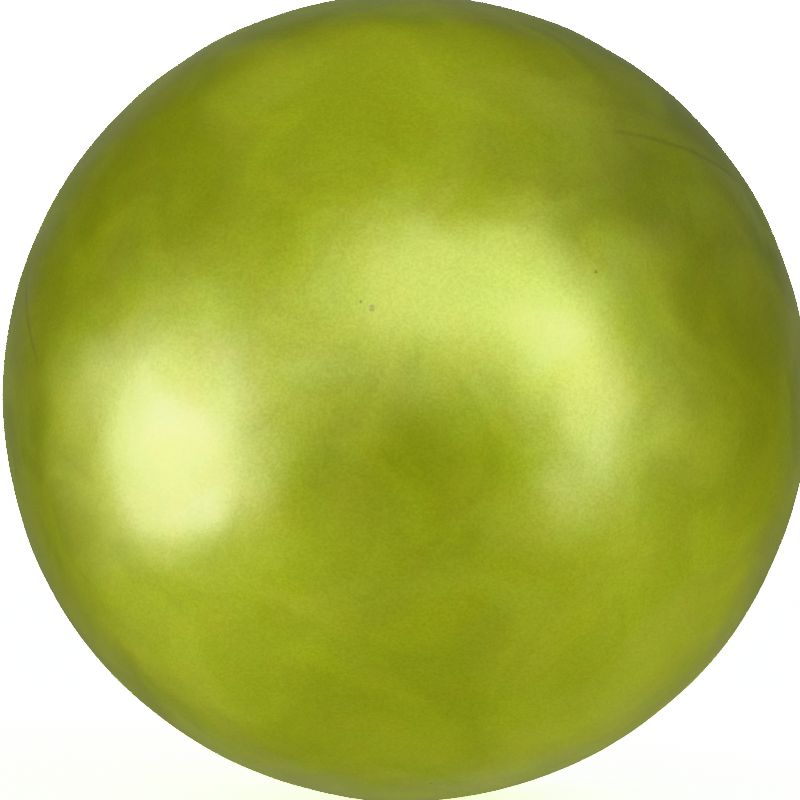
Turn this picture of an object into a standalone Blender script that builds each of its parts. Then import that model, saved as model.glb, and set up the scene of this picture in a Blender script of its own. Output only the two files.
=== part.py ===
"""Seamless hollow juggling ball, part-filled with loose fine grain, in metres with +Z up.

The origin is the ball's centre. A filling port lies on +Y: a firm seat is moulded into the wall
there, and a push-in plug closes it. Every turned piece is a profile of (radius, height) points
that a Screw modifier takes once round its local Z axis.
"""

from math import asin, cos, hypot, pi, radians, sin, sqrt

import bpy
from mathutils import Vector

MM = 0.001

# Ball
BALL_DIAMETER = 70.0 * MM
WALL = 3.0 * MM

# Plug: a flat round head on a tapered stem
PLUG_HEAD_RADIUS = 4.0 * MM
PLUG_HEAD_THICKNESS = 1.5 * MM
PLUG_HEAD_RECESS = 0.1 * MM  # the head's edge lies this far under the ball's skin
PLUG_STEM_RADIUS = 3.0 * MM  # at the shoulder under the head
PLUG_STEM_TAPER = 0.4 * MM  # the stem's end is this much smaller in radius
PLUG_LENGTH = 9.0 * MM  # head and stem

# Seat: a ring that fills the hole in the wall, with a flange inside it and a tube for the stem
SEAT_RIM = 1.5 * MM  # width of the ring that shows round the plug's head
SEAT_FLANGE_WIDTH = 2.4 * MM  # how far the flange reaches past the hole in the wall
SEAT_FLANGE_THICKNESS = 1.2 * MM  # at the flange's outer edge
SEAT_TUBE_WALL = 1.5 * MM
SEAT_TUBE_LENGTH = 3.0 * MM  # below the flange

# Filling
FILLING_BELOW_SEAT = 0.7 * MM  # the level top clears the seat by this when the filling goes round

# Clearances
FIT_GAP = 0.3 * MM  # between pieces that touch
PLUG_GAP = 0.2 * MM  # between the plug and the seat's bore

# Small edges
EDGE_ROUND = 0.25 * MM

# Facets
TURN_STEPS = 48  # round the axis, a multiple of 4 so that the ball measures its full diameter
ARC_STEP = radians(7.5)  # along a profile's arcs
SHARP_ANGLE = radians(35)
MERGE_DISTANCE = 0.01 * MM

# Sizes that follow from those above
BALL_RADIUS = BALL_DIAMETER / 2
INNER_RADIUS = BALL_RADIUS - WALL
SEAT_MOUTH_RADIUS = PLUG_HEAD_RADIUS + PLUG_GAP
SEAT_NECK_RADIUS = SEAT_MOUTH_RADIUS + SEAT_RIM
SEAT_FLANGE_RADIUS = SEAT_NECK_RADIUS + SEAT_FLANGE_WIDTH
PORT_RADIUS = SEAT_NECK_RADIUS + FIT_GAP
FILLING_RADIUS = INNER_RADIUS - FIT_GAP
FILLING_TOP = -(SEAT_FLANGE_RADIUS + FILLING_BELOW_SEAT)


def height_on_sphere(sphere_radius, radius):
    """Height above the centre where a sphere has this radius about its axis."""
    return sqrt(sphere_radius**2 - radius**2)


PLUG_FACE_HEIGHT = height_on_sphere(BALL_RADIUS, PLUG_HEAD_RADIUS) - PLUG_HEAD_RECESS
PLUG_SHOULDER_HEIGHT = PLUG_FACE_HEIGHT - PLUG_HEAD_THICKNESS
PLUG_END_HEIGHT = PLUG_FACE_HEIGHT - PLUG_LENGTH
FLANGE_EDGE_HEIGHT = height_on_sphere(FILLING_RADIUS, SEAT_FLANGE_RADIUS)
FLANGE_UNDER_HEIGHT = FLANGE_EDGE_HEIGHT - SEAT_FLANGE_THICKNESS


def arc(sphere_radius, start, end):
    """Points (radius, height) on a circle about the centre, by angle from the top of the axis."""
    count = max(1, round(abs(end - start) / ARC_STEP))
    angles = [start + (end - start) * i / count for i in range(count + 1)]
    return [(max(0.0, sphere_radius * sin(a)), sphere_radius * cos(a)) for a in angles]


def stem_radius(height):
    """The plug stem's radius, which shrinks evenly from its shoulder to its end."""
    share = (PLUG_SHOULDER_HEIGHT - height) / (PLUG_SHOULDER_HEIGHT - PLUG_END_HEIGHT)
    return PLUG_STEM_RADIUS - PLUG_STEM_TAPER * share


def material(name, color, roughness, metallic=0.0):
    made = bpy.data.materials.new(name)
    made.use_nodes = True
    shader = made.node_tree.nodes["Principled BSDF"]
    shader.inputs["Base Color"].default_value = (*color, 1.0)
    shader.inputs["Roughness"].default_value = roughness
    shader.inputs["Metallic"].default_value = metallic
    made.diffuse_color = (*color, 1.0)
    return made


def turned(name, profile, look, collection, parent=None, origin_height=0.0):
    """A solid turned once round its local Z axis, with its origin on that axis.

    The profile runs down its outer side and back up its inner side, from the axis or in a loop.
    """
    mesh = bpy.data.meshes.new(name)
    closed = profile[0][0] > 0.0
    count = len(profile)
    edges = [(i, (i + 1) % count) for i in range(count if closed else count - 1)]
    mesh.from_pydata([(r, 0.0, h - origin_height) for r, h in profile], edges, [])
    piece = bpy.data.objects.new(name, mesh)
    collection.objects.link(piece)
    piece.parent = parent
    piece.location = Vector((0.0, 0.0, origin_height))
    screw = piece.modifiers.new("Turn", "SCREW")
    screw.steps = TURN_STEPS
    screw.render_steps = TURN_STEPS
    screw.use_merge_vertices = True
    screw.merge_threshold = MERGE_DISTANCE
    bpy.context.view_layer.update()
    evaluated = piece.evaluated_get(bpy.context.evaluated_depsgraph_get())
    solid = bpy.data.meshes.new_from_object(evaluated)
    piece.modifiers.clear()
    piece.data = solid
    bpy.data.meshes.remove(mesh)
    solid.name = name
    solid.materials.append(look)
    solid.shade_smooth()
    solid.set_sharp_from_angle(angle=SHARP_ANGLE)
    return piece


def rounded(profile, corners):
    """The profile with a 45-degree chamfer of EDGE_ROUND in place of each listed corner."""
    count = len(profile)
    points = []
    for i, point in enumerate(profile):
        if i not in corners:
            points.append(point)
            continue
        for other in (profile[i - 1], profile[(i + 1) % count]):
            run = hypot(other[0] - point[0], other[1] - point[1])
            share = min(EDGE_ROUND / run, 0.5)
            points.append(tuple(p + (o - p) * share for p, o in zip(point, other)))
    return points


def add_shell(collection, parent):
    """The one-piece hollow skin, with a round hole through its wall for the seat."""
    outer = asin(PORT_RADIUS / BALL_RADIUS)
    inner = asin(PORT_RADIUS / INNER_RADIUS)
    equator = pi / 2
    profile = arc(INNER_RADIUS, pi, equator) + arc(INNER_RADIUS, equator, inner)[1:]
    profile += arc(BALL_RADIUS, outer, equator) + arc(BALL_RADIUS, equator, pi)[1:]
    profile[0] = (0.0, profile[0][1])
    profile[-1] = (0.0, profile[-1][1])
    look = material("shell_lacquer", (0.33, 0.40, 0.03), 0.3, 0.9)
    return turned("shell", profile, look, collection, parent)


def add_plug_seat(collection, parent):
    """The firm ring that is moulded into the wall, flanged inside, with a bore for the plug."""
    counterbore_height = PLUG_SHOULDER_HEIGHT - PLUG_GAP
    tube_end = FLANGE_UNDER_HEIGHT - SEAT_TUBE_LENGTH
    bore_top = stem_radius(counterbore_height) + PLUG_GAP
    bore_end = stem_radius(tube_end) + PLUG_GAP
    tube_radius = bore_top + SEAT_TUBE_WALL
    profile = [
        (SEAT_MOUTH_RADIUS, height_on_sphere(BALL_RADIUS, SEAT_MOUTH_RADIUS)),
        (SEAT_NECK_RADIUS, height_on_sphere(BALL_RADIUS, SEAT_NECK_RADIUS)),
        (SEAT_NECK_RADIUS, height_on_sphere(FILLING_RADIUS, SEAT_NECK_RADIUS)),
        (SEAT_FLANGE_RADIUS, FLANGE_EDGE_HEIGHT),
        (SEAT_FLANGE_RADIUS, FLANGE_UNDER_HEIGHT),
        (tube_radius, FLANGE_UNDER_HEIGHT),
        (tube_radius, tube_end),
        (bore_end, tube_end),
        (bore_top, counterbore_height),
        (SEAT_MOUTH_RADIUS, counterbore_height),
    ]
    look = material("seat_plastic", (0.30, 0.36, 0.04), 0.4)
    return turned("plug_seat", rounded(profile, (4, 6, 7)), look, collection, parent)


def add_plug(collection, parent):
    """The push-in stopper. Its origin is at the middle of its head's flat outer face."""
    profile = [
        (0.0, PLUG_FACE_HEIGHT),
        (PLUG_HEAD_RADIUS, PLUG_FACE_HEIGHT),
        (PLUG_HEAD_RADIUS, PLUG_SHOULDER_HEIGHT),
        (stem_radius(PLUG_SHOULDER_HEIGHT), PLUG_SHOULDER_HEIGHT),
        (stem_radius(PLUG_END_HEIGHT), PLUG_END_HEIGHT),
        (0.0, PLUG_END_HEIGHT),
    ]
    look = material("plug_rubber", (0.27, 0.33, 0.05), 0.5)
    return turned("plug", rounded(profile, (1, 4)), look, collection, parent, PLUG_FACE_HEIGHT)


def add_filling(collection):
    """The loose grain as one solid at rest: a segment of the hollow with a level top."""
    edge = pi / 2 + asin(-FILLING_TOP / FILLING_RADIUS)
    profile = [(0.0, FILLING_TOP)] + arc(FILLING_RADIUS, edge, pi)
    profile[-1] = (0.0, profile[-1][1])
    look = material("filling_grain", (0.82, 0.80, 0.74), 0.8)
    return turned("filling", profile, look, collection)


def main():
    for old in list(bpy.data.objects):
        bpy.data.objects.remove(old)
    ball = bpy.data.collections.new("juggling_ball")
    bpy.context.scene.collection.children.link(ball)

    port_axis = bpy.data.objects.new("port_axis", None)
    port_axis.rotation_euler = (-pi / 2, 0.0, 0.0)  # local +Z points along the ball's +Y
    port_axis.empty_display_size = BALL_RADIUS
    ball.objects.link(port_axis)

    add_shell(ball, port_axis)
    add_plug_seat(ball, port_axis)
    add_plug(ball, port_axis)
    add_filling(ball)


main()
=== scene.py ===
"""The looks of a metallic lime juggling ball: its pearl skin, port ring, rubber plug and loose grain."""

import random
from math import asin, atan, ceil, cos, pi, radians, sin, sqrt, tan

import bpy
from mathutils import Euler, Matrix, Vector, noise


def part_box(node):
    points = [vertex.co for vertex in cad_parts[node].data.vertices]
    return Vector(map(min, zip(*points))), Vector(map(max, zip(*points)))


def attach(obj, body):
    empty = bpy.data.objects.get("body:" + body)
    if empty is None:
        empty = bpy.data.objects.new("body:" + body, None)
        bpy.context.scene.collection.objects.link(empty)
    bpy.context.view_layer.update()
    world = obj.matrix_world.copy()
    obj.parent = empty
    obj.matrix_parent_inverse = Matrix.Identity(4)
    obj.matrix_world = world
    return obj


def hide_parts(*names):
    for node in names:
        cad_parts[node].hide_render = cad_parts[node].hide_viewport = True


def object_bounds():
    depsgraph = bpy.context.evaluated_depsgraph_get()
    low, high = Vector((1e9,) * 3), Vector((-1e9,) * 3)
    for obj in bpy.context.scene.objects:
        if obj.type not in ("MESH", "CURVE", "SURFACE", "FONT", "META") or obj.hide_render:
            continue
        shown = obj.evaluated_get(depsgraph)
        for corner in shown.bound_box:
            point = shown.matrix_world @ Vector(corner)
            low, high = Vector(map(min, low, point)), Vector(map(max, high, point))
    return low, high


MM = 0.001

# Camera: a long lens, level with the ball's centre. Shares are of the picture's width
LENS = 200.0  # mm, in front of a sensor of the width below
SENSOR = 36.0
OUTLINE_SHARE = 1.01  # how wide the ball's outline is
RIGHT_SHARE = 0.00625  # how far its centre lies right of the picture's middle
UP_SHARE = 0.00375  # and how far above it
CLIP_START = 10 * MM

# Colors of light
WARM = (1.0, 1.0, 0.3)  # from the room's walls, ceiling and table
NEUTRAL = (1.0, 1.0, 1.1)  # from behind the ball
SOFTBOX = (1.06, 0.97, 1.05)
PALE = (1.0, 1.0, 0.8)
CREAM = (1.0, 1.0, 0.6)
COOL = (0.3, 0.2, 1.2)
WHITE = (1.0, 1.0, 1.0, 1.0)
FLOOR_LIGHT = (1.0, 0.985, 0.43)  # all the light that reaches the floor, taken together

# Strength of light. A range is of a direction's height, or of how far it points behind the ball
ROOM_STRENGTH = 0.26
TABLE_STRENGTH = 0.22  # added low down
TABLE_RANGE = (-0.65, -0.15)
CEILING_STRENGTH = 0.26  # added overhead
CEILING_RANGE = (0.65, 0.95)
BACK_SHARE = 0.72  # how much of the room's light is left behind the ball
BACK_RANGE = (0.4, 1.0)
NEUTRAL_RANGE = (0.6, 0.95)  # from the warm sides to the neutral back
NEUTRAL_HEIGHTS = (-0.5, 0.5)
NEUTRAL_SHARES = (0.5, 1.0)  # how neutral the back is at those heights
WHITE_EXPOSURE = 30.0  # how bright the camera sees the background and the floor

# Soft panels: azimuth, elevation, roll, half width, half height (degrees), edge share,
# strength and color
PANELS = (
    (-69, -9, 10, 17, 15, 0.9, 0.75, SOFTBOX),  # left softbox
    (-71, -12, -20, 10.5, 10, 0.95, 1.45, SOFTBOX),  # its bright middle
    (-78, -25, -12, 13, 4, 0.4, 0.6, SOFTBOX),  # its low edge
    (-56, 8, 0, 26, 22, 0.8, 0.33, CREAM),  # glow round it
    (-108, -12, 0, 12, 18, 0.8, 0.22, CREAM),  # glow beyond it
    (20, 34, -12, 25, 13, 0.8, 1.0, CREAM),  # top softbox
    (50, 3, 10, 9, 23, 0.6, 0.92, PALE),  # right softbox
    (64, 5, 0, 20, 28, 0.8, 0.15, CREAM),  # glow round it
    (13, 9, -5, 42, 11, 0.7, 0.45, CREAM),  # pale wall behind the camera
    (-38, 37, 15, 20, 11, 0.9, 0.15, WARM),  # glow high on the left
    (-85, -52, 0, 30, 12, 0.8, 0.18, WARM),  # glow low on the left
    (-120, 40, 0, 40, 30, 0.9, 0.08, WARM),  # glow behind on the left
    (105, -32, 0, 45, 20, 0.8, 0.15, WARM),  # glow low on the right
    (105, 42, -20, 28, 16, 0.9, 0.06, COOL),  # window high on the right
)

# Floor
FLOOR_SIZE = 4.0
FLOOR_COLOR = (0.8, 0.8, 0.8, 1.0)

# The frame's pieces
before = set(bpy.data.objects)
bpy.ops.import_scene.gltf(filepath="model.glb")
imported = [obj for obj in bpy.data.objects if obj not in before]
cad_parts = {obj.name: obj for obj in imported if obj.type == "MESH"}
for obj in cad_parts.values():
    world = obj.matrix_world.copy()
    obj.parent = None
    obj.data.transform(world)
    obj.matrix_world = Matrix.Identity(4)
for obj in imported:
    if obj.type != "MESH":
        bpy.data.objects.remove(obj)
CAD_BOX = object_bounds()
BALL_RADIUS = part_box("shell")[1].x
PLUG_HEAD_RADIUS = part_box("plug")[1].x
PLUG_FACE_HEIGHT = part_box("plug")[1].y
PLUG_END_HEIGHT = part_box("plug")[0].y
SEAT_FLANGE_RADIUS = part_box("plug_seat")[1].x
SEAT_TUBE_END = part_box("plug_seat")[0].y
FILLING_RADIUS = -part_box("filling")[0].z
FILLING_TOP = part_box("filling")[1].z

# Sizes that the frame's boxes don't give, as in the design
FIT_GAP = 0.3 * MM
PLUG_GAP = 0.2 * MM
PLUG_HEAD_THICKNESS = 1.5 * MM
PLUG_STEM_RADIUS = 3.0 * MM
PLUG_STEM_TAPER = 0.4 * MM
SEAT_RIM = 1.5 * MM
SEAT_FLANGE_THICKNESS = 1.2 * MM
SEAT_TUBE_WALL = 1.5 * MM

INNER_RADIUS = FILLING_RADIUS + FIT_GAP
PLUG_SHOULDER_HEIGHT = PLUG_FACE_HEIGHT - PLUG_HEAD_THICKNESS
SEAT_MOUTH_RADIUS = PLUG_HEAD_RADIUS + PLUG_GAP
SEAT_NECK_RADIUS = SEAT_MOUTH_RADIUS + SEAT_RIM

# Small shapes that only the looks have
BOND_LINE = 0.05 * MM  # the fine line between the skin and the seat's ring
EDGE_ROUND = 0.15 * MM
PORT_FLUSH_ANGLE = radians(14)  # the skin is a true sphere this near the port's axis
PORT_FADE_ANGLE = radians(30)  # and has its full unevenness from here on
STEM_RIBS = (0.25, 0.5, 0.75)  # as shares of the stem's length
STEM_RIB_HEIGHT = 0.09 * MM
STEM_RIB_WIDTH = 0.45 * MM
GATE_RADIUS = 0.7 * MM  # the mark that moulding leaves on the plug's head
GATE_FLOOR_RADIUS = 0.8 * GATE_RADIUS
GATE_DEPTH = 0.12 * MM
GATE_ROUND = 0.08 * MM
PLUG_HEAD_ROUND = 0.3 * MM
PLUG_UNDER_ROUND = 0.15 * MM  # at the edge under the plug's head
PLUG_END_ROUND = 0.05 * MM
# Roundings on the seat, from its flange's outer edge down to the tube's end and up its bore
SEAT_ROUNDS = (0.2 * MM, 0.3 * MM, 0.5 * MM, 0.4 * MM, 0.3 * MM, 0.2 * MM, 0.2 * MM)

# The skin's unevenness: length and height of each wave
SKIN_WAVES = (
    (32 * MM, 0.14 * MM),
    (11 * MM, 0.12 * MM),
    (5 * MM, 0.05 * MM),
)
WARP_LENGTH = 2.5  # each wave bends over this many of its lengths
WARP_SHARE = 1.2  # and sideways by up to this many
SKIN_SEED = 1  # for that bending, which Blender would seed from the clock

# Marks on the skin: azimuth, elevation (degrees) and radius
SKIN_MARKS = (
    (-4.4, 11.6, 0.32 * MM),
    (-5.9, 12.5, 0.16 * MM),
    (27.4, 16.8, 0.2 * MM),
    (9.5, -68.0, 0.25 * MM),
    (-81.0, 55.3, 0.5 * MM),
    (128.0, 20.0, 0.3 * MM),
    (-150.0, -12.0, 0.25 * MM),
)

# Fine arcs pressed into the skin, each with painted shade darkening it along its line: azimuth and
# elevation of both ends (degrees)
SKIN_ARCS = (
    ((34, 39), (76, 30)),
    ((-75, 18), (-61, 4)),
)
ARC_WIDTH = 0.45 * MM

# Loose grain
CRYSTALS_ON_TOP = 5200
CRYSTALS_AT_WALL = 3800
CRYSTAL_SIDES = (0.35 * MM, 0.8 * MM)
CRYSTAL_LIFT = 0.12 * MM  # how far a crystal stands out of the heap's top, at most
CRYSTAL_WALL_GAP = 0.45 * MM
HEAP_LEVEL = FILLING_TOP - 0.75 * MM
HEAP_RADIUS = FILLING_RADIUS - 0.4 * MM
HEAP_SWELLS = (13 * MM, 0.4 * MM)  # length and height
HEAP_GRIT = (0.8 * MM, 0.1 * MM)
GRAIN_SEED = 12

# How fine the meshes are: steps in a turn, then the step along each arc or line
SHELL_STEPS = 288
SEAT_STEPS = 144
PLUG_STEPS = 128
GRAIN_STEPS = 200
SKIN_STEP = radians(0.9)
INSIDE_STEP = radians(3.75)
SEAT_FACE_STEP = 0.01  # radians
HEAP_WALL_STEP = radians(1.5)
HEAP_RING_WIDTH = 0.6 * MM
STEM_ROWS = 72
FILLET_STEPS = 6
SHELL_FILLET_STEPS = 4
MERGE_DISTANCE = 0.0001 * MM
SHARP_ANGLE = radians(40)

# Faces are lacquered down to this far below the ball's radius
SHELL_PAINT_DEPTH = 0.5 * MM
SEAT_PAINT_DEPTH = 0.25 * MM

# Points less deep than this belong to the outside of the skin, or to the top of the heap
SKIN_DEPTH = FIT_GAP / 10
LEVEL_DEPTH = 0.01 * MM

# Colors, each from its darker to its lighter patches
PALE_LACQUER = ((0.385, 0.515, 0.010, 1.0), (0.460, 0.61, 0.030, 1.0))
WARM_LACQUER = ((0.418, 0.500, 0.008, 1.0), (0.500, 0.60, 0.022, 1.0))
VINYL_COLORS = ((0.36, 0.42, 0.07, 1.0), (0.45, 0.50, 0.12, 1.0))
RUBBER_COLORS = ((0.22, 0.28, 0.025, 1.0), (0.29, 0.35, 0.045, 1.0))
SALT_COLORS = ((0.70, 0.69, 0.65, 1.0), (0.88, 0.87, 0.84, 1.0))
MARK_COLOR = (0.17, 0.13, 0.01, 1.0)
MARK_SHARE = 0.6  # how much of the mark's color shows
# Painted shade along the arcs' creases, and how much of it shows
ARC_SHADE_COLOR = (0.10, 0.12, 0.02, 1.0)
ARC_SHADE_SHARE = 0.3
DUST_COLOR = (0.42, 0.44, 0.26, 1.0)
SALT_PATCH_COLOR = (0.78, 0.76, 0.68, 1.0)

# How deep the marks are pressed into the skin
MARK_DEPTH = 0.08 * MM
ARC_DEPTH = 0.03 * MM


# ---------------------------------------------------------------- shader helpers


class Tree:
    """A short way to add nodes and link them. Each value may be a number or a node's socket."""

    def __init__(self, tree):
        self.tree = tree

    def add(self, kind, inputs=None, **settings):
        node = self.tree.nodes.new(kind)
        for name, value in settings.items():
            setattr(node, name, value)
        for name, value in (inputs or {}).items():
            self.put(node.inputs[name], value)
        return node

    def put(self, socket, value):
        if isinstance(value, bpy.types.NodeSocket):
            self.tree.links.new(value, socket)
        else:
            socket.default_value = value

    def math(self, operation, a, b=0.0):
        return self.add("ShaderNodeMath", {0: a, 1: b}, operation=operation).outputs[0]

    def vector(self, operation, a, b=(0.0, 0.0, 0.0), c=(0.0, 0.0, 0.0)):
        node = self.add("ShaderNodeVectorMath", {0: a, 1: b, 2: c}, operation=operation)
        gives_number = operation in ("LENGTH", "DISTANCE", "DOT_PRODUCT")
        return node.outputs["Value" if gives_number else "Vector"]

    def ease(self, value, low, high, to_low=0.0, to_high=1.0):
        """to_low where the value is low or less, to_high where it is high or more."""
        ends = {"From Min": low, "From Max": high, "To Min": to_low, "To Max": to_high}
        node = self.add("ShaderNodeMapRange", {"Value": value} | ends, interpolation_type="SMOOTHSTEP")
        return node.outputs[0]

    def blend(self, share, a, b):
        """Color a where the share is 0, color b where it is 1."""
        node = self.add("ShaderNodeMix", data_type="RGBA")
        self.put(node.inputs[0], share)
        self.put(node.inputs[6], a)
        self.put(node.inputs[7], b)
        return node.outputs[2]

    def noise(self, where, size, detail=2.0, roughness=0.5, distortion=0.0):
        """Noise whose features are about size across, in metres."""
        settings = {"Vector": where, "Scale": 1.0 / size, "Detail": detail, "Roughness": roughness}
        node = self.add("ShaderNodeTexNoise", settings | {"Distortion": distortion})
        return node.outputs["Fac"]

    def bump(self, height, distance, strength=1.0, normal=None):
        node = self.add("ShaderNodeBump", {"Height": height, "Strength": strength, "Distance": distance})
        if normal is not None:
            self.put(node.inputs["Normal"], normal)
        return node.outputs[0]


def new_material(name):
    """A material, its node tree helper and its shader."""
    material = bpy.data.materials.new(name)
    material.use_nodes = True
    return material, Tree(material.node_tree), material.node_tree.nodes["Principled BSDF"]


# ---------------------------------------------------------------- studio


def direction(azimuth, elevation):
    """Azimuth 0 points at the camera, 90 to the right of the picture; degrees."""
    around = radians(azimuth)
    up = radians(elevation)
    return Vector((sin(around) * cos(up), -cos(around) * cos(up), sin(up)))


def panel_light(t, where, azimuth, elevation, roll, half_width, half_height, edge):
    """1 in the middle of a rounded panel, fading to 0 over the edge share of its half size."""
    aim = direction(azimuth, elevation)
    side = Vector((cos(radians(azimuth)), sin(radians(azimuth)), 0.0))
    turn = Matrix((side, aim.cross(side), aim)).transposed().to_quaternion()
    turn @= Euler((0.0, 0.0, radians(roll))).to_quaternion()
    scale = (sin(radians(half_width)), sin(radians(half_height)), 1.0)
    placing = {"Vector": where, "Location": aim, "Rotation": turn.to_euler(), "Scale": scale}
    local = t.add("ShaderNodeMapping", placing, vector_type="TEXTURE").outputs[0]
    reach = t.vector("LENGTH", t.vector("MULTIPLY", local, local))
    return t.ease(reach, (1.0 - edge) ** 2, (1.0 + edge) ** 2, to_low=1.0, to_high=0.0)


def build_world():
    """A warm dim room with soft panels in it. The camera itself sees plain white."""
    world = bpy.data.worlds.new("studio")
    world.use_nodes = True
    world.node_tree.nodes.clear()
    bpy.context.scene.world = world
    t = Tree(world.node_tree)
    where = t.add("ShaderNodeTexCoord").outputs["Generated"]  # the direction looked in
    parts = t.add("ShaderNodeSeparateXYZ", {0: where})
    away = parts.outputs["Y"]
    up = parts.outputs["Z"]
    table = t.ease(up, *TABLE_RANGE, to_low=TABLE_STRENGTH, to_high=0.0)
    ceiling = t.ease(up, *CEILING_RANGE, to_low=0.0, to_high=CEILING_STRENGTH)
    light = t.math("ADD", t.math("ADD", table, ceiling), ROOM_STRENGTH)
    dimming = t.ease(away, *BACK_RANGE, to_low=1.0, to_high=BACK_SHARE)
    light = t.math("MULTIPLY", light, dimming)
    share = t.ease(up, *NEUTRAL_HEIGHTS, *NEUTRAL_SHARES)
    share = t.math("MULTIPLY", share, t.ease(away, *NEUTRAL_RANGE))
    color = t.blend(share, (*WARM, 1.0), (*NEUTRAL, 1.0))
    light = t.vector("MULTIPLY", color, light)
    for *shape, strength, color in PANELS:
        shown = [strength * channel for channel in color]
        light = t.vector("MULTIPLY_ADD", panel_light(t, where, *shape), shown, light)
    studio = t.add("ShaderNodeBackground", {"Color": light, "Strength": 1.0})
    plain = t.add("ShaderNodeBackground", {"Color": WHITE, "Strength": WHITE_EXPOSURE})
    seen = t.add("ShaderNodeLightPath").outputs["Is Camera Ray"]
    mixed = t.add("ShaderNodeMixShader", {0: seen, 1: studio.outputs[0], 2: plain.outputs[0]})
    t.add("ShaderNodeOutputWorld", {0: mixed.outputs[0]})


def build_floor():
    """A pale floor that the camera sees as white as the background."""
    bpy.ops.mesh.primitive_plane_add(size=FLOOR_SIZE, location=(0.0, 0.0, CAD_BOX[0][2]))
    floor = bpy.context.object
    floor.name = "studio_floor"
    material, t, shader = new_material("pale_floor")
    seen = t.add("ShaderNodeLightPath").outputs["Is Camera Ray"]
    bright = [WHITE_EXPOSURE / channel for channel in FLOOR_LIGHT]
    t.put(shader.inputs["Base Color"], t.blend(seen, FLOOR_COLOR, (*bright, 1.0)))
    shader.inputs["Roughness"].default_value = 1.0
    shader.inputs["Specular IOR Level"].default_value = 0.0
    floor.data.materials.append(material)
    floor.visible_glossy = False
    floor.visible_shadow = False


def build_camera():
    """The camera, as far away as makes the ball's outline as wide as the picture asks."""
    half_view = OUTLINE_SHARE * (SENSOR / 2) / LENS
    distance = BALL_RADIUS / sin(atan(half_view))
    data = bpy.data.cameras.new("camera")
    data.lens = LENS
    data.sensor_width = SENSOR
    data.shift_x = -RIGHT_SHARE
    data.shift_y = -UP_SHARE
    data.clip_start = CLIP_START
    camera = bpy.data.objects.new("camera", data)
    camera.location = (0.0, -distance, 0.0)
    camera.rotation_euler = (pi / 2, 0.0, 0.0)
    bpy.context.scene.collection.objects.link(camera)
    bpy.context.scene.camera = camera


# ---------------------------------------------------------------- shape helpers

PORT_AXIS = Matrix.Rotation(-pi / 2, 4, "X")  # takes a profile's height to world +Y
UPRIGHT = Matrix.Identity(4)


def height_on_sphere(sphere_radius, radius):
    """How high a sphere's skin lies at this distance from the axis."""
    return sqrt(sphere_radius**2 - radius**2)


def smooth_share(value, low, high):
    """0 below low, 1 above high and an even ease between them."""
    share = min(1.0, max(0.0, (value - low) / (high - low)))
    return share * share * (3.0 - 2.0 * share)


def arc(radius, start, end, step):
    """Points (radius, height) about the centre, by angle from the top of the axis."""
    count = ceil(abs(end - start) / step)
    angles = [start + (end - start) * i / count for i in range(count + 1)]
    return [(radius * sin(a), radius * cos(a)) for a in angles]


def filleted(profile, radii, steps=FILLET_STEPS):
    """The profile with an arc of the given radius in place of each corner listed in radii."""
    points = []
    for i, point in enumerate(profile):
        if i not in radii:
            points.append(tuple(point))
            continue
        corner = Vector(point)
        before = (Vector(profile[i - 1]) - corner).normalized()
        after = (Vector(profile[(i + 1) % len(profile)]) - corner).normalized()
        half = before.angle(after) / 2
        center = corner + (before + after).normalized() * radii[i] / sin(half)
        start = corner + before * radii[i] / tan(half) - center
        end = corner + after * radii[i] / tan(half) - center
        turn = start.angle_signed(end)
        for k in range(steps + 1):
            a = -turn * k / steps
            points.append(tuple(center + Matrix.Rotation(a, 2) @ start))
    return points


def turned(name, profile, steps, axis=PORT_AXIS):
    """A mesh turned about an axis. The profile runs down its outer side and back up inside."""
    mesh = bpy.data.meshes.new(name)
    closed = profile[0][0] > 0.0
    count = len(profile)
    edges = [(i, (i + 1) % count) for i in range(count if closed else count - 1)]
    mesh.from_pydata([(r, 0.0, h) for r, h in profile], edges, [])
    piece = bpy.data.objects.new(name, mesh)
    bpy.context.scene.collection.objects.link(piece)
    screw = piece.modifiers.new("Turn", "SCREW")
    screw.steps = steps
    screw.render_steps = steps
    screw.use_merge_vertices = True
    screw.merge_threshold = MERGE_DISTANCE
    bpy.context.view_layer.update()
    evaluated = piece.evaluated_get(bpy.context.evaluated_depsgraph_get())
    solid = bpy.data.meshes.new_from_object(evaluated)
    piece.modifiers.clear()
    piece.data = solid
    bpy.data.meshes.remove(mesh)
    solid.transform(axis)
    solid.shade_smooth()
    solid.set_sharp_from_angle(angle=SHARP_ANGLE)
    return piece


def paint_by_depth(piece, outside, inside, depth):
    """The first material on faces within depth of the ball's skin, the second on the rest."""
    piece.data.materials.append(outside)
    piece.data.materials.append(inside)
    for face in piece.data.polygons:
        face.material_index = 0 if face.center.length > BALL_RADIUS - depth else 1


# ---------------------------------------------------------------- pieces


def skin_relief(point):
    """How far the skin stands out of a true sphere, from wide out-of-round to fine puckers."""
    from_port = point.angle(Vector((0.0, 1.0, 0.0)))
    share = smooth_share(from_port, PORT_FLUSH_ANGLE, PORT_FADE_ANGLE)
    if share == 0.0:
        return 0.0
    relief = 0.0
    for length, height in SKIN_WAVES:
        warp = noise.noise_vector(point / (WARP_LENGTH * length)) * WARP_SHARE
        relief += noise.noise(point / length + warp) * height
    return relief * share


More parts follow.
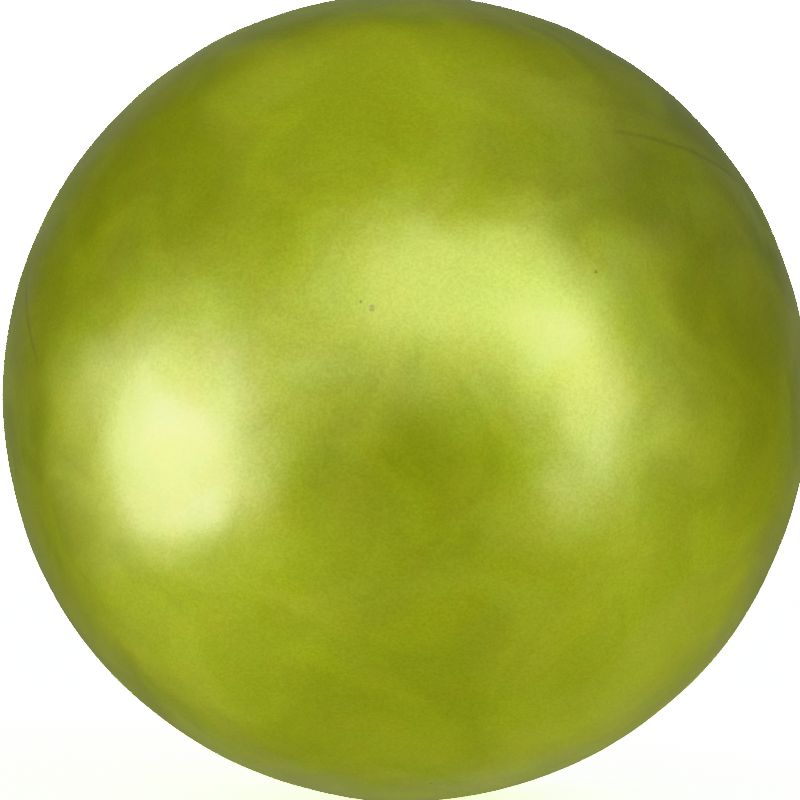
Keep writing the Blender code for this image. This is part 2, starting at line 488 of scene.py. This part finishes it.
def build_shell(lacquer, vinyl):
    """The hollow skin: a smooth sphere, slightly uneven as soft vinyl is, with the port's hole."""
    port_radius = SEAT_NECK_RADIUS + BOND_LINE
    outer_edge = asin(port_radius / BALL_RADIUS)
    inner_edge = asin(port_radius / INNER_RADIUS)
    inside = arc(INNER_RADIUS, pi, inner_edge, INSIDE_STEP)
    outside = arc(BALL_RADIUS, outer_edge, pi, SKIN_STEP)
    profile = inside + outside
    profile[0] = (0.0, profile[0][1])
    profile[-1] = (0.0, profile[-1][1])
    profile = filleted(profile, {len(inside): EDGE_ROUND}, SHELL_FILLET_STEPS)
    shell = turned("lacquered_shell", profile, SHELL_STEPS)
    noise.seed_set(SKIN_SEED)
    for vertex in shell.data.vertices:
        if vertex.co.length > BALL_RADIUS - SKIN_DEPTH:
            vertex.co += vertex.co.normalized() * skin_relief(vertex.co)
    paint_by_depth(shell, lacquer, vinyl, SHELL_PAINT_DEPTH)
    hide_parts("shell")
    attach(shell, "ball")


def stem_radius(height):
    """The plug stem's radius without its ribs."""
    share = (PLUG_SHOULDER_HEIGHT - height) / (PLUG_SHOULDER_HEIGHT - PLUG_END_HEIGHT)
    return PLUG_STEM_RADIUS - PLUG_STEM_TAPER * share


def build_seat(lacquer, vinyl):
    """The ring in the skin, with its inner flange and the tube that grips the plug."""
    neck_under = height_on_sphere(FILLING_RADIUS, SEAT_NECK_RADIUS)
    flange_edge = height_on_sphere(FILLING_RADIUS, SEAT_FLANGE_RADIUS)
    flange_under = flange_edge - SEAT_FLANGE_THICKNESS
    counterbore = PLUG_SHOULDER_HEIGHT - PLUG_GAP
    bore_top = stem_radius(counterbore) + PLUG_GAP
    bore_end = stem_radius(SEAT_TUBE_END) + PLUG_GAP
    tube_radius = bore_top + SEAT_TUBE_WALL
    face_start = asin(SEAT_MOUTH_RADIUS / BALL_RADIUS)
    face_end = asin(SEAT_NECK_RADIUS / BALL_RADIUS)
    face = arc(BALL_RADIUS, face_start, face_end, SEAT_FACE_STEP)
    last = len(face) - 1
    profile = face + [
        (SEAT_NECK_RADIUS, neck_under),
        (SEAT_FLANGE_RADIUS, flange_edge),
        (SEAT_FLANGE_RADIUS, flange_under),
        (tube_radius, flange_under),
        (tube_radius, SEAT_TUBE_END),
        (bore_end, SEAT_TUBE_END),
        (bore_top, counterbore),
        (SEAT_MOUTH_RADIUS, counterbore),
    ]
    rounds = {0: EDGE_ROUND, last: EDGE_ROUND / 2}
    rounds |= dict(enumerate(SEAT_ROUNDS, start=last + 2))
    seat = turned("port_ring", filleted(profile, rounds), SEAT_STEPS)
    paint_by_depth(seat, lacquer, vinyl, SEAT_PAINT_DEPTH)
    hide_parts("plug_seat")
    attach(seat, "ball")


def ribbed_stem(height):
    """The stem's radius with its sealing ribs."""
    length = PLUG_SHOULDER_HEIGHT - PLUG_END_HEIGHT
    swell = 0.0
    for share in STEM_RIBS:
        off = abs(height - (PLUG_SHOULDER_HEIGHT - share * length)) / STEM_RIB_WIDTH
        swell = max(swell, STEM_RIB_HEIGHT * cos(pi / 2 * off) if off < 1.0 else 0.0)
    return stem_radius(height) + swell


def build_plug(rubber):
    """The stopper: a flat head with a moulding mark, and a ribbed stem that tapers."""
    gate_floor = PLUG_FACE_HEIGHT - GATE_DEPTH
    head = [
        (0.0, gate_floor),
        (GATE_FLOOR_RADIUS, gate_floor),
        (GATE_RADIUS, PLUG_FACE_HEIGHT),
        (PLUG_HEAD_RADIUS, PLUG_FACE_HEIGHT),
        (PLUG_HEAD_RADIUS, PLUG_SHOULDER_HEIGHT),
    ]
    length = PLUG_SHOULDER_HEIGHT - PLUG_END_HEIGHT
    heights = [PLUG_SHOULDER_HEIGHT - length * i / STEM_ROWS for i in range(STEM_ROWS + 1)]
    stem = [(ribbed_stem(height), height) for height in heights]
    profile = head + stem + [(0.0, PLUG_END_HEIGHT)]
    end = len(profile) - 2
    rounds = {2: GATE_ROUND, 3: PLUG_HEAD_ROUND, 4: PLUG_UNDER_ROUND, end: PLUG_END_ROUND}
    plug = turned("rubber_plug", filleted(profile, rounds), PLUG_STEPS)
    plug.data.materials.append(rubber)
    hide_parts("plug")
    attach(plug, "stopper")


def grain_level(x, y):
    """The uneven top of the loose grain, which stays under the level of its CAD solid."""
    swell_length, swell_height = HEAP_SWELLS
    grit_length, grit_height = HEAP_GRIT
    swell = noise.noise(Vector((x, y, 0.0)) / swell_length) * swell_height
    grit = noise.noise(Vector((x, y, 5 * MM)) / grit_length) * grit_height
    return HEAP_LEVEL + swell + grit


def crystal(rng, center, points, faces):
    """Adds one salt-like crystal, a small box turned at random."""
    sides = [rng.uniform(*CRYSTAL_SIDES) / 2 for _ in range(3)]
    turn = Euler([rng.uniform(0.0, 2 * pi) for _ in range(3)]).to_matrix()
    first = len(points)
    for x in (-1, 1):
        for y in (-1, 1):
            for z in (-1, 1):
                points.append(center + turn @ Vector((x * sides[0], y * sides[1], z * sides[2])))
    for face in ((0, 1, 3, 2), (4, 6, 7, 5), (0, 4, 5, 1), (2, 3, 7, 6), (0, 2, 6, 4), (1, 5, 7, 3)):
        faces.append([first + corner for corner in face])


def build_grain(salt):
    """The loose grain: a packed heap that lies against the wall, with crystals all over it."""
    edge = pi / 2 + asin(-HEAP_LEVEL / HEAP_RADIUS)
    wall = arc(HEAP_RADIUS, edge, pi, HEAP_WALL_STEP)
    top_radius = wall[0][0]
    rings = ceil(top_radius / HEAP_RING_WIDTH)
    profile = [(top_radius * i / rings, HEAP_LEVEL) for i in range(rings)] + wall
    profile[-1] = (0.0, wall[-1][1])
    heap = turned("loose_grain", profile, GRAIN_STEPS, UPRIGHT)
    for vertex in heap.data.vertices:
        if vertex.co.z > HEAP_LEVEL - LEVEL_DEPTH:
            vertex.co.z = grain_level(vertex.co.x, vertex.co.y)
    rng = random.Random(GRAIN_SEED)
    points = []
    faces = []
    for _ in range(CRYSTALS_ON_TOP):
        far = (top_radius - CRYSTAL_SIDES[1]) * sqrt(rng.random())
        around = rng.uniform(0.0, 2 * pi)
        x = far * cos(around)
        y = far * sin(around)
        z = grain_level(x, y) + rng.uniform(0.0, CRYSTAL_LIFT)
        crystal(rng, Vector((x, y, z)), points, faces)
    for _ in range(CRYSTALS_AT_WALL):
        height = rng.uniform(-1.0, HEAP_LEVEL / FILLING_RADIUS)
        around = rng.uniform(0.0, 2 * pi)
        flat = sqrt(1.0 - height**2)
        out = Vector((flat * cos(around), flat * sin(around), height))
        crystal(rng, out * (FILLING_RADIUS - CRYSTAL_WALL_GAP), points, faces)
    crystals = bpy.data.meshes.new("crystals")
    crystals.from_pydata(points, [], faces)
    loose = bpy.data.objects.new("crystals", crystals)
    bpy.context.scene.collection.objects.link(loose)
    bpy.ops.object.select_all(action="DESELECT")
    loose.select_set(True)
    heap.select_set(True)
    bpy.context.view_layer.objects.active = heap
    bpy.ops.object.join()
    heap.data.materials.clear()
    heap.data.materials.append(salt)
    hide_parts("filling")
    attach(heap, "grain")


# ---------------------------------------------------------------- materials


def skin_arc(t, where, start, end):
    """How near a point is to the great circle between two directions, fading towards its ends."""
    first = direction(*start)
    last = direction(*end)
    middle = (first + last).normalized() * BALL_RADIUS
    reach = (first - last).length / 2 * BALL_RADIUS
    off = t.math("ABSOLUTE", t.vector("DOT_PRODUCT", where, first.cross(last).normalized()))
    line = t.ease(off, 0.0, ARC_WIDTH, to_low=1.0, to_high=0.0)
    along = t.vector("DISTANCE", where, middle)
    fade = t.ease(along, reach * 0.5, reach, to_low=1.0, to_high=0.0)
    return t.math("MULTIPLY", line, fade)


def pearl_lacquer():
    """Metallic lime under a soft pearly gloss: clouds, hue patches, fine flake, a few marks and painted
    shade along fine arcs.
    """
    material, t, shader = new_material("pearl_lime_lacquer")
    where = t.add("ShaderNodeTexCoord").outputs["Object"]
    cloud = t.noise(where, 9 * MM, detail=4.0, roughness=0.55, distortion=0.8)
    hue = t.noise(where, 5 * MM, detail=3.0, roughness=0.6, distortion=0.4)
    billow = t.noise(where, 10 * MM, detail=3.0, distortion=0.7)
    flake = t.noise(where, 0.22 * MM, detail=1.0)
    peel = t.noise(where, 1.6 * MM, detail=1.0)
    clouded = t.ease(cloud, 0.35, 0.65)
    pale = t.blend(clouded, *PALE_LACQUER)
    warm = t.blend(clouded, *WARM_LACQUER)
    color = t.blend(t.ease(hue, 0.38, 0.66), pale, warm)
    color = t.vector("MULTIPLY", color, t.ease(flake, 0.25, 0.75, to_low=0.9, to_high=1.1))
    marks = 0.0
    for azimuth, elevation, radius in SKIN_MARKS:
        off = t.vector("DISTANCE", where, direction(azimuth, elevation) * BALL_RADIUS)
        marks = t.math("ADD", marks, t.ease(off, radius * 0.3, radius, to_low=1.0, to_high=0.0))
    color = t.blend(t.math("MULTIPLY", marks, MARK_SHARE), color, MARK_COLOR)
    # Painted shade: the colour is darkened along each arc, over its pressed crease
    arcs = 0.0
    for ends in SKIN_ARCS:
        arcs = t.math("ADD", arcs, skin_arc(t, where, *ends))
    color = t.blend(t.math("MULTIPLY", arcs, ARC_SHADE_SHARE), color, ARC_SHADE_COLOR)
    t.put(shader.inputs["Base Color"], color)
    t.put(shader.inputs["Roughness"], t.ease(cloud, 0.3, 0.7, to_low=0.36, to_high=0.44))
    shader.inputs["Metallic"].default_value = 1.0
    gloss = t.ease(billow, 0.36, 0.62, to_low=0.75, to_high=1.0)
    gloss = t.math("MULTIPLY", gloss, t.ease(flake, 0.25, 0.75, to_low=0.8, to_high=1.0))
    t.put(shader.inputs["Coat Weight"], gloss)
    shader.inputs["Coat IOR"].default_value = 3.4
    shader.inputs["Coat Roughness"].default_value = 0.24
    normal = t.bump(peel, 0.02 * MM, strength=0.4)
    normal = t.bump(flake, 0.02 * MM, strength=0.35, normal=normal)
    normal = t.bump(t.math("MULTIPLY", marks, -1.0), MARK_DEPTH, normal=normal)
    normal = t.bump(t.math("MULTIPLY", arcs, -1.0), ARC_DEPTH, normal=normal)
    t.put(shader.inputs["Normal"], normal)
    return material


def plain_vinyl():
    """The bare soft vinyl inside the skin and on the seat: satin, lime, a little blotchy."""
    material, t, shader = new_material("plain_lime_vinyl")
    where = t.add("ShaderNodeTexCoord").outputs["Object"]
    blotch = t.noise(where, 6 * MM, detail=3.0, roughness=0.6)
    grain = t.noise(where, 0.35 * MM)
    color = t.blend(t.ease(blotch, 0.3, 0.7), *VINYL_COLORS)
    t.put(shader.inputs["Base Color"], color)
    t.put(shader.inputs["Roughness"], t.ease(grain, 0.3, 0.7, to_low=0.42, to_high=0.58))
    t.put(shader.inputs["Normal"], t.bump(grain, 0.03 * MM, strength=0.4))
    return material


def satin_rubber():
    """The plug's moulded rubber: darker lime, satin, with a fine skin and a little dust."""
    material, t, shader = new_material("satin_lime_rubber")
    where = t.add("ShaderNodeTexCoord").outputs["Object"]
    blotch = t.noise(where, 2.5 * MM, detail=3.0, roughness=0.6)
    skin = t.noise(where, 0.18 * MM)
    dust = t.noise(where, 0.5 * MM, detail=4.0, roughness=0.7)
    color = t.blend(t.ease(blotch, 0.3, 0.7), *RUBBER_COLORS)
    color = t.blend(t.ease(dust, 0.60, 0.80, to_high=0.35), color, DUST_COLOR)
    t.put(shader.inputs["Base Color"], color)
    t.put(shader.inputs["Roughness"], t.ease(blotch, 0.3, 0.7, to_low=0.44, to_high=0.6))
    t.put(shader.inputs["Normal"], t.bump(skin, 0.03 * MM, strength=0.5))
    return material


def white_salt():
    """Salt-like grain: white to faintly grey crystals with glossy faces."""
    material, t, shader = new_material("white_salt_grain")
    where = t.add("ShaderNodeTexCoord").outputs["Object"]
    each = t.noise(where, 0.7 * MM, detail=0.0)
    patch = t.noise(where, 7 * MM)
    facets = t.noise(where, 0.2 * MM, detail=1.0)
    color = t.blend(t.ease(each, 0.3, 0.7), *SALT_COLORS)
    color = t.blend(t.ease(patch, 0.4, 0.7, to_high=0.25), color, SALT_PATCH_COLOR)
    t.put(shader.inputs["Base Color"], color)
    t.put(shader.inputs["Roughness"], t.ease(each, 0.3, 0.7, to_low=0.25, to_high=0.6))
    t.put(shader.inputs["Normal"], t.bump(facets, 0.02 * MM, strength=0.4))
    return material


bpy.context.scene.view_settings.view_transform = "Khronos PBR Neutral"
build_world()
build_floor()
build_camera()
LACQUER = pearl_lacquer()
VINYL = plain_vinyl()
build_shell(LACQUER, VINYL)
build_seat(LACQUER, VINYL)
build_plug(satin_rubber())
build_grain(white_salt())
